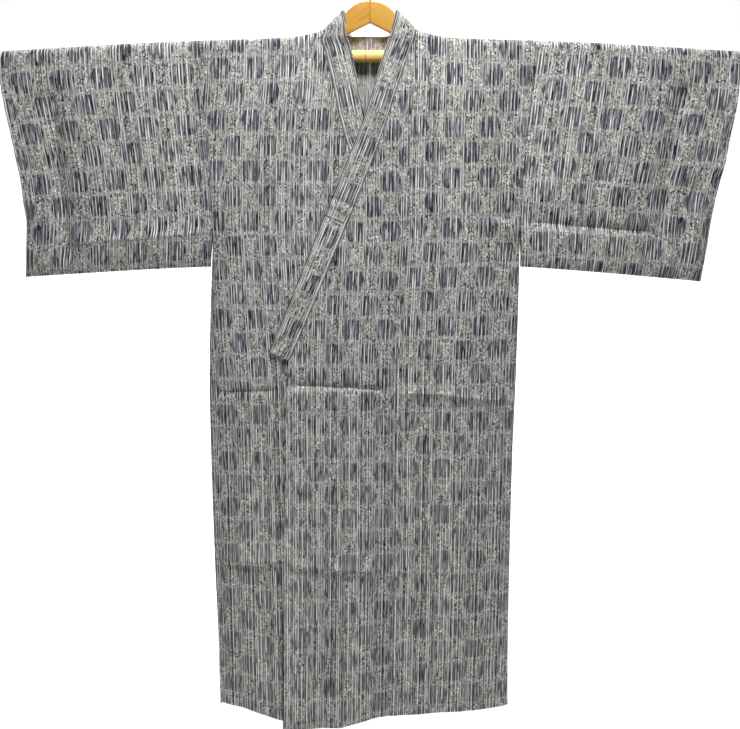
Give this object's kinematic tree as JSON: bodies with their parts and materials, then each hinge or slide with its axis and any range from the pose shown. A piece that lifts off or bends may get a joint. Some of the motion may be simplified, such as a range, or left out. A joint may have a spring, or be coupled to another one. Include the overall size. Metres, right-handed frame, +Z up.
{
  "type": "cotton yukata robe on a wooden hanger",
  "caption": "Straight-cut cotton robe with wide sleeves and a crossed collar, basket-weave and stripe pattern, hung flat on a wooden hanger with a pole through the sleeves and a wire hook",
  "frame": {"origin": "inside top of the hanger's hook, where the hook rests on a rail", "axes": "+Z up, +X to the viewer's right, the robe's front faces -Y"},
  "size_m": [1.3995, 0.1048, 1.5249],
  "materials": {
    "cotton": "matte woven cotton, pale ground with navy stripes in a basket-weave lattice",
    "arm_wood": "satin orange-tan wood",
    "rod_wood": "satin pale yellow wood",
    "steel": "plain polished wire"
  },
  "bodies": {
    "root": {"body_front_left": "cotton", "body_front_right": "cotton", "body_shoulder_left": "cotton", "body_shoulder_right": "cotton", "body_back_left": "cotton", "body_back_right": "cotton", "overlap_left": "cotton", "overlap_right": "cotton", "sleeve_left": "cotton", "sleeve_right": "cotton", "collar": "cotton", "outer_collar": "cotton", "hanger_arms": "arm_wood", "hanger_rod": "rod_wood", "hanger_hook": "steel"}
  },
  "joints": []
}
